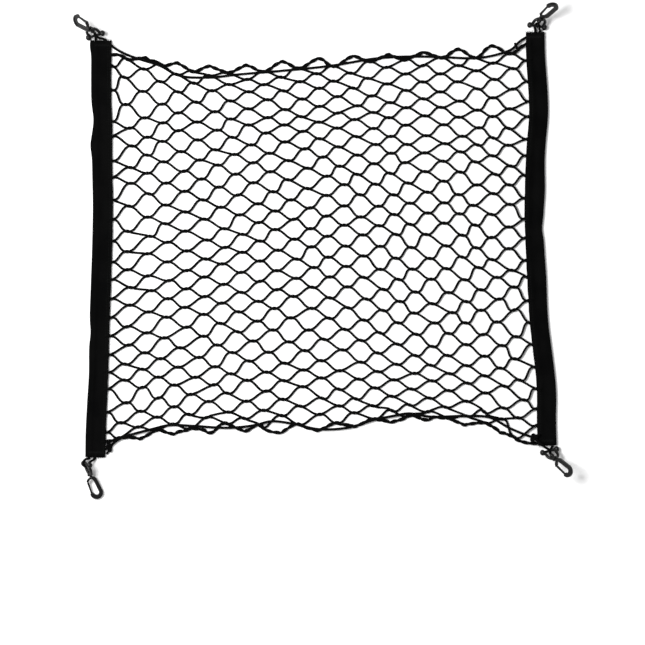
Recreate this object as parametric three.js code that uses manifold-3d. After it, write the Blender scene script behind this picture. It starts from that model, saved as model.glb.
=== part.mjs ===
// A cargo net laid out flat: elastic netting between two folded tape sleeves, with an elastic cord round
// its edge and a swivel snap hook at each corner. Millimetres, +Z up, +Y towards the top edge of the net.
import * as THREE from 'three';
import { mergeVertices } from 'three/addons/utils/BufferGeometryUtils.js';
import Module from 'manifold-3d';

const wasm = await Module();
wasm.setup();

// ---------------------------------------------------------------- driving dimensions
const GAP = 0.3;                 // running gap between neighbouring pieces

const CELL_COLUMNS = 9;          // full meshes across the net
const CELL_ROWS = 31;            // half-staggered rows of meshes down the net
const STRAND_WIDTH = 3.0;
const NET_THICKNESS = 2.6;
const JUNCTION_HALF = 6.0;       // half the length over which two strands run together
const SELVEDGE_WIDTH = 3.2;      // extra material outside the first and last row
const TUCK_DEPTH = 8.0;          // how far the net reaches into a sleeve
const TUCK_STRIP = 4.0;          // unbroken strip at the tucked edge
const NET_LIFT = 1.8;            // height of the net's underside where it enters a sleeve
const LIFT_START = 2.0;          // distances from the sleeve over which the net comes down to the floor
const LIFT_END = 60.0;

const SLEEVE_WALL = 1.2;
const SLEEVE_ROOM = 4.4;         // clear height inside the fold
const SLEEVE_HEIGHT = SLEEVE_ROOM + 2 * SLEEVE_WALL;
const SLEEVE_WIDTH = { left: 31.0, right: 28.5 };
const SLEEVE_FOLD_CHAMFER = 2.2;

const CORD_RADIUS = 1.8;
const CORD_SIDES = 8;
const CORD_IN_SLEEVE_Z = SLEEVE_HEIGHT / 2;
const CORD_OVER_NET = GAP + 0.25; // clearance of the cord's straight steps over the net

const BAR_RADIUS = 2.1;          // straight bar of the base ring
const BAR_HALF = 12.5;
const EAR_RADIUS = 4.3;
const LEG_X = 9.3;               // half the width of the arch, on its centre line
const ARCH_CENTRE_Y = 7.7;
const CROWN_Y = ARCH_CENTRE_Y + LEG_X;
const BOSS_RADIUS = 4.6;
const BOSS_HALF = 1.7;
const STEM_HOLE_RADIUS = 3.15;

const BALL_RADIUS = 3.6;
const BALL_Y = 10.2;             // ball centre, from the bar, along the ring
const STEM_RADIUS = 1.8;
const HOOK_SHOULDER_Y = 11.2;    // along the hook, from the ball centre
const HOOK_TIP_Y = 47.0;
const HOOK_THICKNESS = 3.8;
const HOOK_BEVEL = 1.0;
const BEND_RADIUS = 10.2;        // outside radius of the hook's bend
const BEND_INNER_RADIUS = 4.2;
const BEND_INNER_X = 0.3;
const BEND_Y = HOOK_TIP_Y - BEND_RADIUS;
const GATE_PIVOT = { x: -7.4, y: 18.6 };
const GATE_LENGTH = 16.4;
const GATE_RADIUS = 1.5;
const GATE_WIDTH = 3.2;

// ---------------------------------------------------------------- lay of the net and its sleeves
// Where the meshes lie. Each row is a station down the net, from its top edge (0) to its bottom edge (1),
// with the point on the left sleeve's edge, three points between and the point on the right sleeve's edge.
const NET_STATIONS = [
  { down: 0.00, left: [-325, 306], quarter: [-174, 284], middle: [-8, 296], far: [154, 305], right: [313, 320] },
  { down: 0.05, left: [-325, 285], quarter: [-172, 268], middle: [-8, 272], far: [153, 285], right: [314, 293] },
  { down: 0.15, left: [-326, 203], quarter: [-169, 216], middle: [-6, 222], far: [155, 234], right: [318, 231] },
  { down: 0.25, left: [-325, 140], quarter: [-165, 157], middle: [-4, 171], far: [157, 177], right: [314, 174] },
  { down: 0.45, left: [-326, 14], quarter: [-154, 36], middle: [8, 53], far: [159, 58], right: [311, 51] },
  { down: 0.65, left: [-328, -103], quarter: [-155, -79], middle: [11, -72], far: [169, -78], right: [316, -74] },
  { down: 0.85, left: [-333, -212], quarter: [-172, -204], middle: [-3, -196], far: [166, -202], right: [329, -212] },
  { down: 0.95, left: [-335, -279], quarter: [-176, -260], middle: [-7, -251], far: [162, -245], right: [328, -268] },
  { down: 1.00, left: [-335, -293], quarter: [-177, -277], middle: [-8, -276], far: [162, -259], right: [329, -290] },
];

// Centre line of each sleeve, from its top end to its bottom end.
const SLEEVE_LINES = {
  left: [
    [-341, 324], [-341.5, 290], [-341.5, 240], [-340, 190], [-340, 130], [-339, 70], [-340, 10],
    [-342, -50], [-344.5, -120], [-346, -180], [-348, -235], [-350, -280], [-350.5, -317],
  ],
  right: [
    [326.5, 336.5], [327, 300], [330.5, 245], [331.5, 210], [328, 165], [325.5, 115], [324.5, 55],
    [326.5, 0], [329.5, -60], [333, -115], [339, -165], [343.5, -215], [343.5, -260], [345, -299],
  ],
};

// ---------------------------------------------------------------- corner fittings
// Middle of the ring's bar, and how the ring and its hook lie: heading is turned from +Y, pitch lifts the
// crown, roll turns the ring about its own length, lean and lift are the hook's angles in the crown, across
// the ring and out of its plane, and swivel is the hook's turn about its own length.
const CORNERS = [
  { name: 'top_left', bar: [-350, 331.5, 9.8], heading: 41, pitch: 44, roll: -34, lean: 7, lift: 8, swivel: -95 },
  { name: 'top_right', bar: [329.3, 345.8, 9.4], heading: -30, pitch: 42, roll: 31, lean: -7.5, lift: 6, swivel: 0 },
  { name: 'bottom_right', bar: [348.5, -307.5, 9.8], heading: -146, pitch: 36, roll: -32, lean: 11, lift: 0, swivel: -105 },
  { name: 'bottom_left', bar: [-363.2, -328, 16.2], heading: -161.5, pitch: -13, roll: 70, lean: 0, lift: 0, swivel: 110 },
];

const KNOTS = {
  knot_left: { centre: [-328.6, -302, 4.6], radii: [4.7, 7.0, 4.2], turn: 8 },
  knot_right: { centre: [324.3, -287, 9.2], radii: [5.8, 7, 4.3], turn: -35 },
};

// ---------------------------------------------------------------- finishes
const FINISH = {
  netting: { color: 0x111112, roughness: 0.85, metalness: 0 },
  tape: { color: 0x0d0d0e, roughness: 0.95, metalness: 0 },
  cord: { color: 0x131314, roughness: 0.8, metalness: 0 },
  plastic: { color: 0x161718, roughness: 0.42, metalness: 0 },
};

function finish(name) {
  return new THREE.MeshStandardMaterial(FINISH[name]);
}

// ---------------------------------------------------------------- solids
const radians = THREE.MathUtils.degToRad;

function bare(geometry) {
  const plain = geometry.index ? geometry.toNonIndexed() : geometry.clone();
  plain.deleteAttribute('normal');
  plain.deleteAttribute('uv');
  return mergeVertices(plain, 1e-4);
}

function toSolid(geometry) {
  const closed = bare(geometry);
  return new wasm.Manifold(new wasm.Mesh({
    numProp: 3,
    vertProperties: new Float32Array(closed.attributes.position.array),
    triVerts: new Uint32Array(closed.index.array),
  }));
}

function toGeometry(solid) {
  const mesh = solid.getMesh();
  const geometry = new THREE.BufferGeometry();
  geometry.setAttribute('position', new THREE.BufferAttribute(new Float32Array(mesh.vertProperties), 3));
  geometry.setIndex(new THREE.BufferAttribute(new Uint32Array(mesh.triVerts), 1));
  geometry.computeVertexNormals();
  return geometry;
}

function node(name, geometry, finishName) {
  const mesh = new THREE.Mesh(geometry, finish(finishName));
  mesh.name = name;
  return mesh;
}

// A smooth route whose steps are shared out by its points, so that close points get short steps.
class RouteCurve extends THREE.CatmullRomCurve3 {
  getPointAt(t, target) {
    return this.getPoint(t, target);
  }

  getTangentAt(t, target) {
    return this.getTangent(t, target);
  }
}

function roundShape(radius, sides) {
  const shape = new THREE.Shape();
  for (let side = 0; side < sides; side += 1) {
    const angle = (2 * Math.PI * side) / sides;
    const move = side === 0 ? 'moveTo' : 'lineTo';
    shape[move](radius * Math.cos(angle), radius * Math.sin(angle));
  }
  return shape;
}

function tube(points, radius, sides) {
  const route = new RouteCurve(points, false, 'centripetal');
  return new THREE.ExtrudeGeometry(roundShape(radius, sides), { steps: points.length - 1, extrudePath: route });
}

// ---------------------------------------------------------------- net
const STATION_COLUMNS = ['left', 'quarter', 'middle', 'far', 'right'];
const columnCurves = STATION_COLUMNS.map((column) => new THREE.CatmullRomCurve3(
  NET_STATIONS.map((station) => new THREE.Vector3(station[column][0], station[column][1], 0)),
  false,
  'centripetal',
));

function stationPosition(down) {
  const last = NET_STATIONS.length - 1;
  let index = 0;
  while (index < last - 1 && down > NET_STATIONS[index + 1].down) index += 1;
  const start = NET_STATIONS[index].down;
  const share = (down - start) / (NET_STATIONS[index + 1].down - start);
  return (index + share) / last;
}

// Point of the net at a share across (0 to 1, left to right) and a share down (0 to 1).
function netPoint(across, down) {
  const t = stationPosition(down);
  const acrossCurve = new THREE.CatmullRomCurve3(columnCurves.map((curve) => curve.getPoint(t)));
  const point = acrossCurve.getPoint(across);
  return new THREE.Vector2(point.x, point.y);
}

const ACROSS_STEPS = 2 * CELL_COLUMNS;
const DOWN_STEPS = CELL_ROWS + 1;

function latticePoint(column, row, shift = 0) {
  const point = netPoint(column / ACROSS_STEPS, row / DOWN_STEPS);
  point.x += shift;
  return point;
}

// Moves every edge of a polygon, given counter-clockwise, inwards by a distance.
function inset(points, distance) {
  const count = points.length;
  const lines = points.map((point, index) => {
    const next = points[(index + 1) % count];
    const along = next.clone().sub(point).normalize();
    const inward = new THREE.Vector2(-along.y, along.x);
    return { start: point.clone().addScaledVector(inward, distance), along };
  });
  return lines.map((line, index) => {
    const before = lines[(index + count - 1) % count];
    const step = line.start.clone().sub(before.start);
    const share = step.cross(line.along) / before.along.cross(line.along);
    return before.start.clone().addScaledVector(before.along, share);
  });
}

function meshHole(column, row) {
  const atLeft = column === 0;
  const atRight = column === ACROSS_STEPS;
  const corners = [];
  if (atRight) {
    const reach = TUCK_DEPTH - TUCK_STRIP + STRAND_WIDTH / 2;
    corners.push(latticePoint(column, row + 1, reach), latticePoint(column, row - 1, reach));
  } else {
    corners.push(
      latticePoint(column, row + 1, JUNCTION_HALF),
      latticePoint(column + 1, row, -JUNCTION_HALF),
      latticePoint(column, row - 1, JUNCTION_HALF),
    );
  }
  if (atLeft) {
    const reach = TUCK_DEPTH - TUCK_STRIP + STRAND_WIDTH / 2;
    corners.push(latticePoint(column, row - 1, -reach), latticePoint(column, row + 1, -reach));
  } else {
    corners.push(
      latticePoint(column, row - 1, -JUNCTION_HALF),
      latticePoint(column - 1, row, JUNCTION_HALF),
      latticePoint(column, row + 1, -JUNCTION_HALF),
    );
  }
  return inset(corners, STRAND_WIDTH / 2);
}

// The scalloped edge: over the flat top of each edge mesh and down to the junction between two of them.
function scallopedEdge(edgeRow, firstRow, outward) {
  const points = [];
  for (let column = 0; column <= ACROSS_STEPS; column += 1) {
    const row = column % 2 === 0 ? edgeRow : firstRow;
    const left = latticePoint(column, row, -JUNCTION_HALF * 0.8);
    const right = latticePoint(column, row, JUNCTION_HALF * 0.8);
    left.y += outward;
    right.y += outward;
    if (column > 0) points.push(left);
    if (column < ACROSS_STEPS) points.push(right);
  }
  return points;
}

function tuckedSide(column, shift) {
  const points = [];
  for (let row = 0; row <= DOWN_STEPS; row += 4) points.push(latticePoint(column, row, shift));
  points[0].y += SELVEDGE_WIDTH;
  points[points.length - 1].y -= SELVEDGE_WIDTH;
  return points;
}

function smooth(value, low, high) {
  return THREE.MathUtils.smoothstep(value, low, high);
}

function sleeveEdgeX(side, y) {
  const column = side === 'left' ? 0 : ACROSS_STEPS;
  let nearest = latticePoint(column, 0);
  for (let row = 1; row <= DOWN_STEPS; row += 1) {
    const point = latticePoint(column, row);
    if (Math.abs(point.y - y) < Math.abs(nearest.y - y)) nearest = point;
  }
  return nearest.x;
}

// Height of the net's underside.
function netBase(x, y) {
  const side = x < 0 ? 'left' : 'right';
  const distance = x < 0 ? x - sleeveEdgeX(side, y) : sleeveEdgeX(side, y) - x;
  return NET_LIFT * (1 - smooth(distance, LIFT_START, LIFT_END));
}

function makeNet() {
  const outline = [
    ...scallopedEdge(0, 1, SELVEDGE_WIDTH),
    ...tuckedSide(ACROSS_STEPS, TUCK_DEPTH),
    ...scallopedEdge(DOWN_STEPS, DOWN_STEPS - 1, -SELVEDGE_WIDTH).reverse(),
    ...tuckedSide(0, -TUCK_DEPTH).reverse(),
  ];
  const shape = new THREE.Shape(outline);
  for (let row = 1; row <= CELL_ROWS; row += 1) {
    for (let column = (row + 1) % 2; column <= ACROSS_STEPS; column += 2) {
      shape.holes.push(new THREE.Path(meshHole(column, row)));
    }
  }
  const geometry = new THREE.ExtrudeGeometry(shape, { depth: NET_THICKNESS, bevelEnabled: false });
  const position = geometry.attributes.position;
  for (let index = 0; index < position.count; index += 1) {
    const base = netBase(position.getX(index), position.getY(index));
    position.setZ(index, position.getZ(index) + base);
  }
  return node('net', bare(geometry), 'netting');
}

// ---------------------------------------------------------------- sleeves
// Section of a folded tape: two layers joined at the fold, open towards the net.
function sleeveSection(width, towardsNet) {
  const half = width / 2;
  const wall = SLEEVE_WALL;
  const height = SLEEVE_HEIGHT;
  const chamfer = SLEEVE_FOLD_CHAMFER;
  const innerChamfer = chamfer - 0.5 * wall;
  const profile = [
    [half, 0], [half, wall],
    [-half + wall + innerChamfer, wall], [-half + wall, wall + innerChamfer],
    [-half + wall, height - wall - innerChamfer], [-half + wall + innerChamfer, height - wall],
    [half, height - wall], [half, height],
    [-half + chamfer, height], [-half, height - chamfer], [-half, chamfer], [-half + chamfer, 0],
  ];
  // The shape's x runs down and its y runs to the left along a route that is followed towards -Y.
  return new THREE.Shape(profile.map(([x, z]) => new THREE.Vector2(-z, x * towardsNet)));
}

function makeSleeve(side) {
  const towardsNet = side === 'left' ? 1 : -1;
  const points = SLEEVE_LINES[side].map(([x, y]) => new THREE.Vector3(x, y, 0));
  const steps = 2 * (points.length - 1);
  const route = new RouteCurve(points, false, 'centripetal');
  const section = sleeveSection(SLEEVE_WIDTH[side], towardsNet);
  const geometry = new THREE.ExtrudeGeometry(section, { steps, extrudePath: route });
  return node(`sleeve_${side}`, bare(geometry), 'tape');
}

// ---------------------------------------------------------------- corner fittings
function ringGeometry() {
  const archPoints = [new THREE.Vector3(-LEG_X, 0, 0), new THREE.Vector3(-LEG_X, ARCH_CENTRE_Y * 0.6, 0)];
  const archSpans = 6;
  for (let span = 0; span <= archSpans; span += 1) {
    const angle = Math.PI * (1 - span / archSpans);
    archPoints.push(new THREE.Vector3(LEG_X * Math.cos(angle), ARCH_CENTRE_Y + LEG_X * Math.sin(angle), 0));
  }
  archPoints.push(new THREE.Vector3(LEG_X, ARCH_CENTRE_Y * 0.6, 0), new THREE.Vector3(LEG_X, 0, 0));
  let ring = toSolid(tube(archPoints, BAR_RADIUS, 8));

  const bar = new THREE.CylinderGeometry(BAR_RADIUS, BAR_RADIUS, 2 * BAR_HALF, 8).rotateZ(Math.PI / 2);
  ring = ring.add(toSolid(bar));
  for (const side of [-1, 1]) {
    const ear = new THREE.SphereGeometry(EAR_RADIUS, 8, 5).rotateZ(Math.PI / 2).scale(0.85, 1, 1);
    ring = ring.add(toSolid(ear.translate(side * BAR_HALF, 0, 0)));
  }

  const boss = new THREE.CylinderGeometry(BOSS_RADIUS, BOSS_RADIUS, 2 * BOSS_HALF, 10);
  const hole = new THREE.CylinderGeometry(STEM_HOLE_RADIUS, STEM_HOLE_RADIUS, 4 * BOSS_HALF, 10);
  ring = ring.add(toSolid(boss.translate(0, CROWN_Y, 0)));
  ring = ring.subtract(toSolid(hole.translate(0, CROWN_Y, 0)));
  return toGeometry(ring);
}

// Outline of the hook body, gate side at -x: neck, widening back, round bend, nose, then the inside of the
// eye and the root of the gate.
function hookOutline() {
  const neck = 3.0;
  const shoulder = 6.6;
  const bend = radians(6);
  const shape = new THREE.Shape();
  shape.moveTo(-neck, HOOK_SHOULDER_Y);
  shape.lineTo(neck, HOOK_SHOULDER_Y);
  shape.quadraticCurveTo(shoulder, HOOK_SHOULDER_Y + 1, shoulder + 0.8, HOOK_SHOULDER_Y + 6);
  shape.absarc(0, BEND_Y, BEND_RADIUS, -bend, Math.PI - bend, false);
  shape.lineTo(-BEND_RADIUS + 0.6, GATE_PIVOT.y + GATE_LENGTH + 1);
  shape.lineTo(-BEND_RADIUS + 1.5, GATE_PIVOT.y + GATE_LENGTH + GAP);
  shape.lineTo(-BEND_INNER_RADIUS - 1.2, GATE_PIVOT.y + GATE_LENGTH + GAP);
  shape.absarc(BEND_INNER_X, BEND_Y, BEND_INNER_RADIUS, Math.PI - bend, -bend, true);
  shape.lineTo(2.4, HOOK_SHOULDER_Y + 8);
  shape.quadraticCurveTo(1.2, HOOK_SHOULDER_Y + 2.8, -1.4, HOOK_SHOULDER_Y + 2.8);
  shape.quadraticCurveTo(-4.0, HOOK_SHOULDER_Y + 2.8, -5.2, GATE_PIVOT.y - GATE_RADIUS - GAP);
  shape.lineTo(-9.4, GATE_PIVOT.y - GATE_RADIUS - GAP);
  shape.quadraticCurveTo(-8.4, HOOK_SHOULDER_Y + 1.5, -neck, HOOK_SHOULDER_Y);
  return shape;
}

function hookGeometry() {
  const body = new THREE.ExtrudeGeometry(hookOutline(), {
    depth: HOOK_THICKNESS - 2 * HOOK_BEVEL,
    curveSegments: 5,
    bevelThickness: HOOK_BEVEL,
    bevelSize: HOOK_BEVEL,
    bevelOffset: -HOOK_BEVEL,
    bevelSegments: 1,
  }).translate(0, 0, HOOK_BEVEL - HOOK_THICKNESS / 2);
  const stemLength = HOOK_SHOULDER_Y + 2;
  const stem = new THREE.CylinderGeometry(STEM_RADIUS, STEM_RADIUS, stemLength, 8);
  const ball = new THREE.SphereGeometry(BALL_RADIUS, 10, 6);
  const hook = toSolid(body).add(toSolid(stem.translate(0, stemLength / 2, 0))).add(toSolid(ball));
  return toGeometry(hook);
}

// A round knuckle at the root with a flat tongue that reaches the nose.
function gateGeometry() {
  const knuckle = new THREE.CylinderGeometry(GATE_RADIUS, GATE_RADIUS, GATE_WIDTH, 10).rotateX(Math.PI / 2);
  const tongue = new THREE.Shape();
  tongue.moveTo(-1.1, 0);
  tongue.lineTo(1.1, 0);
  tongue.lineTo(0.9, GATE_LENGTH);
  tongue.lineTo(-0.9, GATE_LENGTH);
  tongue.closePath();
  const blade = new THREE.ExtrudeGeometry(tongue, { depth: GATE_WIDTH - 0.6, bevelEnabled: false });
  blade.translate(0, 0, -(GATE_WIDTH - 0.6) / 2);
  return toGeometry(toSolid(knuckle).add(toSolid(blade)));
}

const RING_GEOMETRY = ringGeometry();
const HOOK_GEOMETRY = hookGeometry();
const GATE_GEOMETRY = gateGeometry();

function makeCorner(corner) {
  const ring = new THREE.Group();
  ring.position.set(...corner.bar);
  ring.rotation.set(radians(corner.pitch), radians(corner.roll), radians(corner.heading), 'ZXY');
  ring.add(node(`ring_${corner.name}`, RING_GEOMETRY, 'plastic'));

  const hook = new THREE.Group();
  hook.rotation.set(radians(corner.lift), radians(corner.swivel), radians(corner.lean), 'ZXY');
  const axis = new THREE.Vector3(0, 1, 0).applyEuler(hook.rotation);
  hook.position.set(0, CROWN_Y, 0).addScaledVector(axis, -(CROWN_Y - BALL_Y) / axis.y);
  hook.add(node(`hook_${corner.name}`, HOOK_GEOMETRY, 'plastic'));

  const gate = node(`gate_${corner.name}`, GATE_GEOMETRY, 'plastic');
  gate.position.set(GATE_PIVOT.x, GATE_PIVOT.y, 0);
  hook.add(gate);
  ring.add(hook);
  return ring;
}

// ---------------------------------------------------------------- edge cord and its knots
const WRAP_RADIUS = BAR_RADIUS + 1.5 * GAP + CORD_RADIUS;

// A turn of cord round the bar of a corner's ring, from below it (or beside it), through the ring's eye and
// back over it. from and to are places along the bar, and degrees is how far round it goes.
function wrap(cornerName, from, to, degrees) {
  const corner = CORNERS.find((entry) => entry.name === cornerName);
  const turn = new THREE.Euler(radians(corner.pitch), radians(corner.roll), radians(corner.heading), 'ZXY');
  const along = new THREE.Vector3(1, 0, 0).applyEuler(turn);
  const forward = new THREE.Vector3(0, 1, 0).applyEuler(turn);
  if (Math.abs(corner.roll) < 60) forward.set(0, 0, 1).cross(along).normalize();
  const across = forward.clone().cross(along);
  const points = [];
  const spans = Math.round(degrees / 30);
  for (let span = 0; span <= spans; span += 1) {
    const angle = radians(degrees * span) / spans;
    const place = THREE.MathUtils.lerp(from, to, span / spans);
    points.push(new THREE.Vector3(...corner.bar)
      .addScaledVector(along, place)
      .addScaledVector(across, WRAP_RADIUS * Math.cos(angle))
      .addScaledVector(forward, WRAP_RADIUS * Math.sin(angle)));
  }
  return points;
}

// Places on the floor side are given with a height; those without one lie on top of the net.
function routePoint([x, y, z]) {
  const height = z ?? netBase(x, y) + NET_THICKNESS + CORD_OVER_NET + CORD_RADIUS;
  return new THREE.Vector3(x, y, height);
}

function smoothRoute(places, stepsPerSpan) {
  const route = new RouteCurve(places.map(routePoint), false, 'centripetal');
  return route.getPoints((places.length - 1) * stepsPerSpan);
}

function insideSleeve(side, offset) {
  return SLEEVE_LINES[side].slice(1, -1).map(([x, y]) => new THREE.Vector3(x + offset, y, CORD_IN_SLEEVE_Z));
}

const IN = CORD_IN_SLEEVE_Z;
const TOP_ROUTE = [
  [-343.5, 327.6, 12], [-337, 325.5, 11.2], [-330, 320, 10.8], [-323, 313.8, 8.8], [-315.5, 308.8, 6.9], [-304, 303],
  [-288, 297], [-251, 285], [-222, 270], [-177, 267], [-128, 272], [-68, 277], [11, 285], [78, 296],
  [120, 299], [169, 299], [236, 297], [270, 303], [291, 311], [302, 322, 6.2], [312, 328.5, IN], [320, 331, IN],
];
const BOTTOM_ROUTE = [
  KNOTS.knot_right.centre, [312, -283, 7.6], [286, -272], [256, -256], [216, -254], [166, -255], [132, -250],
  [112, -253], [78, -260], [37, -272], [-8, -274], [-45, -266], [-80, -262], [-105, -268], [-146, -272],
  [-202, -269], [-237, -268], [-263, -274], [-300, -284], [-318, -292, 6], KNOTS.knot_left.centre,
];

const KNOT_TO_RING = [
  KNOTS.knot_left.centre, [-337, -306, IN], [-345, -311, IN], [-350, -315, IN], [-351, -319, 3.8],
  [-353.5, -321.4, 6.6], [-357.5, -324, 11.5],
];
const RING_TO_LEFT_SLEEVE = [[-367.8, -322.8, 12.2], [-363.6, -319.7, 7.6], [-360.8, -319.4, 4.3], [-359.3, -315, IN]];

function longCordPoints() {
  return [
    ...KNOT_TO_RING.map(routePoint),
    ...wrap('bottom_left', 2, 1.4, 210),
    ...RING_TO_LEFT_SLEEVE.map(routePoint),
    ...insideSleeve('left', -8.5).reverse(),
    ...[[-349.5, 318, IN], [-350, 325, IN - 0.3]].map(routePoint),
    ...wrap('top_left', -2, 2.2, 210),
    ...smoothRoute(TOP_ROUTE, 2),
    ...[[326, 335.5, IN], [326.8, 340, IN + 0.6]].map(routePoint),
    ...wrap('top_right', -2, 3.4, 240),
    ...[[333.9, 340.2, 4.7], [334.3, 336.5, IN], [334.7, 328, IN]].map(routePoint),
    ...insideSleeve('right', 8),
    ...[[353, -293, IN], [352.6, -301, IN - 0.4]].map(routePoint),
    ...wrap('bottom_right', -2.4, 2.4, 210),
    ...[[341, -301.6, 12.4], [333, -295, 10.4], KNOTS.knot_right.centre].map(routePoint),
  ];
}

function knotGeometry(knot, grow) {
  const shape = new THREE.SphereGeometry(1, 12, 8);
  const position = shape.attributes.position;
  const point = new THREE.Vector3();
  for (let index = 0; index < position.count; index += 1) {
    point.fromBufferAttribute(position, index);
    const swell = 1 - 0.12 * Math.cos(4 * Math.atan2(point.y, point.x)) * (1 - point.z * point.z);
    point.multiplyScalar(swell);
    position.setXYZ(index, point.x, point.y, point.z);
  }
  const [x, y, z] = knot.radii.map((radius) => radius / 1.12 + grow);
  return shape.scale(x, y, z).rotateZ(radians(knot.turn)).translate(...knot.centre);
}

function makeCord(name, points) {
  let cord = toSolid(tube(points, CORD_RADIUS, CORD_SIDES));
  for (const knot of Object.values(KNOTS)) cord = cord.subtract(toSolid(knotGeometry(knot, GAP)));
  return node(name, toGeometry(cord), 'cord');
}

// ---------------------------------------------------------------- the object
const cargoNet = new THREE.Group();
cargoNet.add(makeNet());
for (const side of ['left', 'right']) cargoNet.add(makeSleeve(side));
cargoNet.add(makeCord('edge_cord_long', longCordPoints()));
cargoNet.add(makeCord('edge_cord_bottom', smoothRoute(BOTTOM_ROUTE, 2)));
for (const [name, knot] of Object.entries(KNOTS)) cargoNet.add(node(name, bare(knotGeometry(knot, 0)), 'cord'));
for (const corner of CORNERS) cargoNet.add(makeCorner(corner));

export default cargoNet;
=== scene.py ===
# %% [markdown]
# # A cargo net with four snap hooks
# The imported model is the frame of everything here. It is loaded first and never changed: each piece that
# we make stands where one of its plain solids stands, and rides on the same body. We work in millimetres,
# as the maker's drawing does, and turn them into Blender's metres once, when a mesh is made.

# %% The frame
import math
import random

import bpy
import numpy as np
from mathutils import Matrix, Vector, noise


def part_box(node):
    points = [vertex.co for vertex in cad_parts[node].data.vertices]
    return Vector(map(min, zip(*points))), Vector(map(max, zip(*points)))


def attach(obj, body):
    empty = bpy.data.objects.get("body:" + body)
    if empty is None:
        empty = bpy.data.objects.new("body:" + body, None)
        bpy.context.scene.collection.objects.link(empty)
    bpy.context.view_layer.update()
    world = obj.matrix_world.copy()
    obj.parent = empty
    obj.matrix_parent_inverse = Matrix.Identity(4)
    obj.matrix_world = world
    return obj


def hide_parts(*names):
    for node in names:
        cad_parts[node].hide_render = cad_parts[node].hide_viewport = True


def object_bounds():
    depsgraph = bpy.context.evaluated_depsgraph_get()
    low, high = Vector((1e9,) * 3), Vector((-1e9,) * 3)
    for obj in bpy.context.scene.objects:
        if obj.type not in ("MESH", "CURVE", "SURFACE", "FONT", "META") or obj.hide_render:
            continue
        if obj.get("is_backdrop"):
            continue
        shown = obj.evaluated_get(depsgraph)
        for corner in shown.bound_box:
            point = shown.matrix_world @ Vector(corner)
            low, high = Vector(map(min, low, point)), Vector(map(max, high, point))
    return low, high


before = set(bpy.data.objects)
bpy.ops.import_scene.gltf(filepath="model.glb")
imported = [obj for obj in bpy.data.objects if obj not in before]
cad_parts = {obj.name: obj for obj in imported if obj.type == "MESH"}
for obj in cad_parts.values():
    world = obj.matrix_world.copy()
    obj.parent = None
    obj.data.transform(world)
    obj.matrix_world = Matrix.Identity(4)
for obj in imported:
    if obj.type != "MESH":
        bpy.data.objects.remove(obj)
cad_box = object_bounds()
MM = 0.001
NET_BODY = "net_and_rings"

# %% [markdown]
# ## Camera first
# The net lies flat on the floor and is seen from straight above. A long lens far away keeps the four
# corners from spreading, as they would under a short lens held close. The frame is 993 mm wide, and its
# middle is a little below the middle of the net.

# %% Camera
LENS = 300.0
SENSOR = 36.0
FRAME_WIDTH = 993.3
FRAME_MIDDLE = (-0.77, -110.0)
camera_height = FRAME_WIDTH * LENS / SENSOR

camera = bpy.data.objects.new("camera", bpy.data.cameras.new("camera"))
camera.data.lens = LENS
camera.data.sensor_width = SENSOR
camera.data.clip_end = 50.0
camera.location = (FRAME_MIDDLE[0] * MM, FRAME_MIDDLE[1] * MM, camera_height * MM)
bpy.context.scene.collection.objects.link(camera)
bpy.context.scene.camera = camera
print("camera height, mm:", round(camera_height))

# %% [markdown]
# ## A smooth line through a few points
# Cords, strands and the two sleeves all follow smooth lines. A centripetal Catmull-Rom curve passes
# through every point that it is given and never loops back between two of them, so a route can be set out
# with few points. `curve_at` takes shares of the way, from 0 to 1, in which each span counts the same.

# %% Smooth lines
def curve_at(points, shares):
    points = np.asarray(points, float)
    spans = len(points) - 1
    ends = [2 * points[0] - points[1]], [2 * points[-1] - points[-2]]
    padded = np.concatenate([ends[0], points, ends[1]])
    steps = np.linalg.norm(np.diff(padded, axis=0), axis=1) ** 0.5
    places = np.clip(np.asarray(shares, float), 0, 1) * spans
    first = np.minimum(places.astype(int), spans - 1)
    t = (places - first)[:, None]
    p0, p1, p2, p3 = (padded[first + k] for k in range(4))
    d0, d1, d2 = (steps[first + k][:, None] for k in range(3))
    start = d1 * ((p1 - p0) / d0 - (p2 - p0) / (d0 + d1) + (p2 - p1) / d1)
    end = d1 * ((p2 - p1) / d1 - (p3 - p1) / (d1 + d2) + (p3 - p2) / d2)
    rise = p2 - p1
    return p1 + start * t + (3 * rise - 2 * start - end) * t**2 + (start + end - 2 * rise) * t**3


def distances(points):
    return np.concatenate([[0], np.cumsum(np.linalg.norm(np.diff(points, axis=0), axis=1))])


def even_steps(points, step):
    along = distances(points)
    places = np.linspace(0, along[-1], max(2, int(round(along[-1] / step)) + 1))
    return np.stack([np.interp(places, along, points[:, k]) for k in range(points.shape[1])], axis=1)


def smooth_route(points, step, dense=24):
    spans = len(points) - 1
    return even_steps(curve_at(points, np.linspace(0, 1, spans * dense + 1)), step)


def smoothstep(value, low, high):
    share = np.clip((value - low) / (high - low), 0, 1)
    return share * share * (3 - 2 * share)


# %% [markdown]
# ## Tubes, and a basket to collect them in
# Blender could bevel a curve into a tube, but hundreds of curves are slow and their surface coordinates
# are shares of the length. Building the rings of points ourselves gives one light mesh for the whole
# net, with coordinates in millimetres: round the strand in one direction and along it in the other. Every
# braid pattern can then be given its real pitch.

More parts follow.
